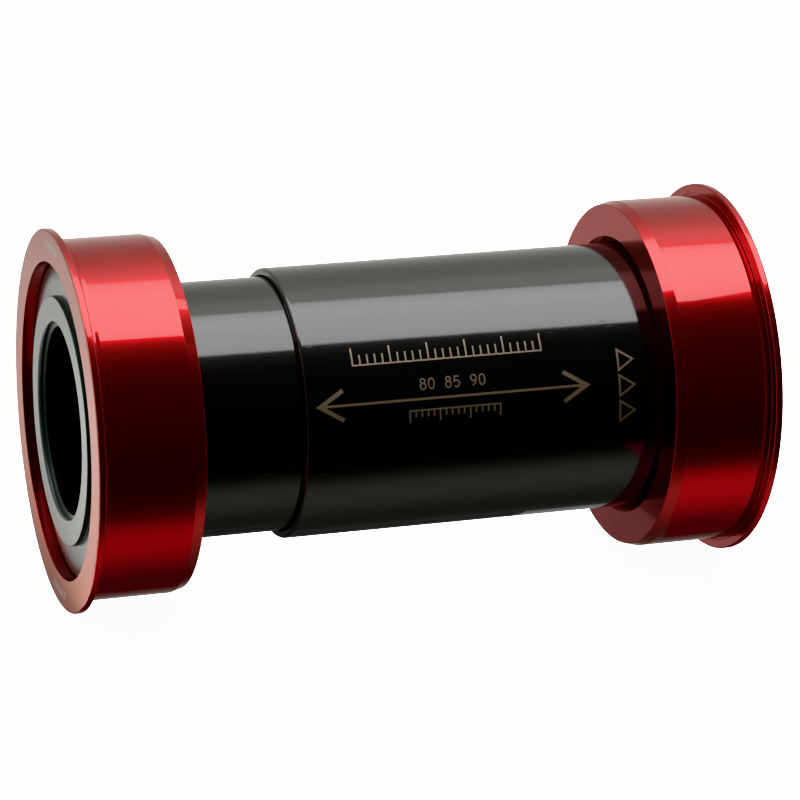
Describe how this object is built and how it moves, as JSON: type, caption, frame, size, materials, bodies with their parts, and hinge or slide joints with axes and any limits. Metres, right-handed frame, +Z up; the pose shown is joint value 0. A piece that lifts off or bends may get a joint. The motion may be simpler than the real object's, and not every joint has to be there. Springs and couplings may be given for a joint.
{
  "type": "bottom bracket",
  "caption": "Press-fit bicycle bottom bracket: flanged cups with sealed ball bearings and dust covers, joined by a telescoping sleeve.",
  "frame": {"origin": "centre of the assembly on the spindle axis, midway between the two flanges' outer faces", "axes": "+X along the spindle axis from the left cup, which holds the inner sleeve, to the right cup, which holds the outer sleeve; +Z up"},
  "size_m": [0.0894, 0.049, 0.049],
  "materials": {
    "red_anodised": "turned and dyed red, satin to bright",
    "black_anodised": "polished and dyed black",
    "bearing_steel": "ground",
    "ball_ceramic": "polished",
    "cage_plastic": "moulded, satin",
    "cover_plastic": "moulded, satin",
    "seal_rubber": "matt"
  },
  "bodies": {
    "right_half": {"right_cup": "red_anodised", "outer_sleeve": "black_anodised", "right_sleeve_o_ring": "seal_rubber", "right_outer_race": "bearing_steel", "right_outboard_seal": "seal_rubber", "right_inboard_seal": "seal_rubber"},
    "left_half": {"left_cup": "red_anodised", "inner_sleeve": "black_anodised", "left_sleeve_o_ring": "seal_rubber", "telescope_o_ring": "seal_rubber", "left_outer_race": "bearing_steel", "left_outboard_seal": "seal_rubber", "left_inboard_seal": "seal_rubber"},
    "right_rotor": {"right_inner_race": "bearing_steel", "right_dust_cover": "cover_plastic"},
    "left_rotor": {"left_inner_race": "bearing_steel", "left_dust_cover": "cover_plastic"},
    "right_ball_set": {"right_ball_cage": "cage_plastic", "right_ball_01": "ball_ceramic", "right_ball_02": "ball_ceramic", "right_ball_03": "ball_ceramic", "right_ball_04": "ball_ceramic", "right_ball_05": "ball_ceramic", "right_ball_06": "ball_ceramic", "right_ball_07": "ball_ceramic", "right_ball_08": "ball_ceramic", "right_ball_09": "ball_ceramic", "right_ball_10": "ball_ceramic", "right_ball_11": "ball_ceramic", "right_ball_12": "ball_ceramic", "right_ball_13": "ball_ceramic", "right_ball_14": "ball_ceramic", "right_ball_15": "ball_ceramic"},
    "left_ball_set": {"left_ball_cage": "cage_plastic", "left_ball_01": "ball_ceramic", "left_ball_02": "ball_ceramic", "left_ball_03": "ball_ceramic", "left_ball_04": "ball_ceramic", "left_ball_05": "ball_ceramic", "left_ball_06": "ball_ceramic", "left_ball_07": "ball_ceramic", "left_ball_08": "ball_ceramic", "left_ball_09": "ball_ceramic", "left_ball_10": "ball_ceramic", "left_ball_11": "ball_ceramic", "left_ball_12": "ball_ceramic", "left_ball_13": "ball_ceramic", "left_ball_14": "ball_ceramic", "left_ball_15": "ball_ceramic"}
  },
  "joints": [
    {"name": "sleeve_telescope", "type": "slide", "parent": "right_half", "child": "left_half", "axis": [-1, 0, 0], "range_m": [-0.0084, 0.0046]},
    {"name": "right_spindle_turn", "type": "hinge", "parent": "right_half", "child": "right_rotor", "pos_m": [0.03865, 0, 0], "axis": [1, 0, 0], "continuous": true},
    {"name": "left_spindle_turn", "type": "hinge", "parent": "left_half", "child": "left_rotor", "pos_m": [-0.03865, 0, 0], "axis": [1, 0, 0], "continuous": true},
    {"name": "right_balls_roll", "type": "hinge", "parent": "right_half", "child": "right_ball_set", "pos_m": [0.03865, 0, 0], "axis": [1, 0, 0], "continuous": true},
    {"name": "left_balls_roll", "type": "hinge", "parent": "left_half", "child": "left_ball_set", "pos_m": [-0.03865, 0, 0], "axis": [1, 0, 0], "continuous": true}
  ],
  "couplings": [
    {"joint": "right_balls_roll", "follows": "right_spindle_turn", "ratio": 0.4424},
    {"joint": "left_balls_roll", "follows": "left_spindle_turn", "ratio": 0.4424}
  ]
}
